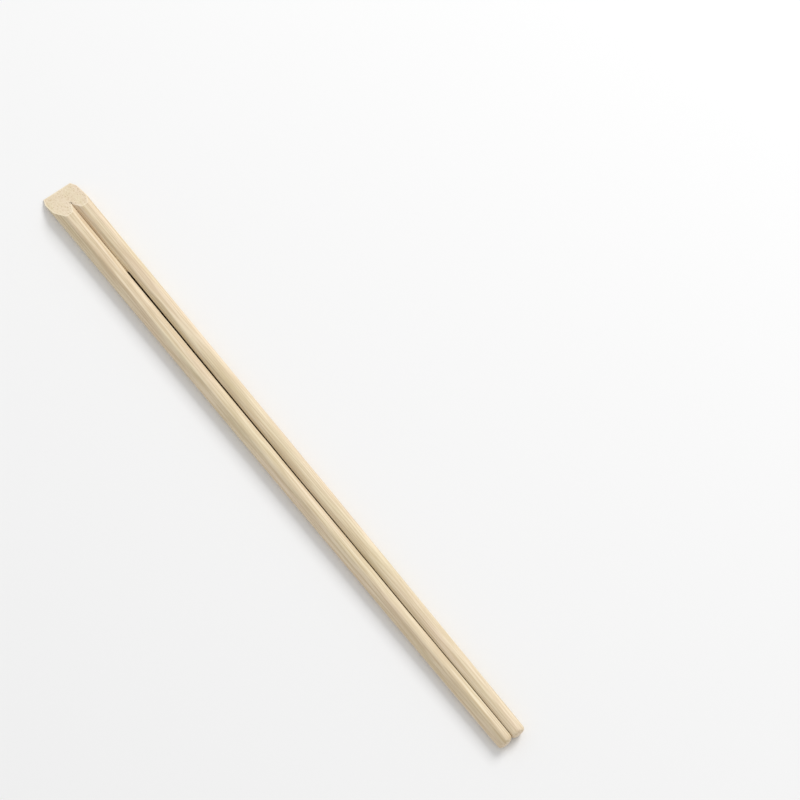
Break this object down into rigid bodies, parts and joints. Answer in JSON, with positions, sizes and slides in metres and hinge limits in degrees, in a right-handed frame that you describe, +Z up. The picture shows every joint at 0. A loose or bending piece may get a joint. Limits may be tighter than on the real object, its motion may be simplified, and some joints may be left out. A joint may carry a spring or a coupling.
{
  "type": "pair of bamboo chopsticks",
  "caption": "Disposable bamboo chopsticks in one piece: tapering sticks side by side, joined at a slant-cut head, grooved along the join and parted by a narrow slit.",
  "frame": {"origin": "middle of the underside of the bounding box: half way along the pair, on the plane it rests on", "axes": "+X from the slant-cut head to the tips, +Y across the two sticks, +Z up from the resting plane"},
  "size_m": [0.21, 0.0112, 0.005],
  "materials": {
    "bamboo": "bare planed bamboo, pale and matt, with fine fibre lines along the sticks"
  },
  "bodies": {
    "root": {"chopstick_pair": "bamboo"}
  },
  "joints": []
}
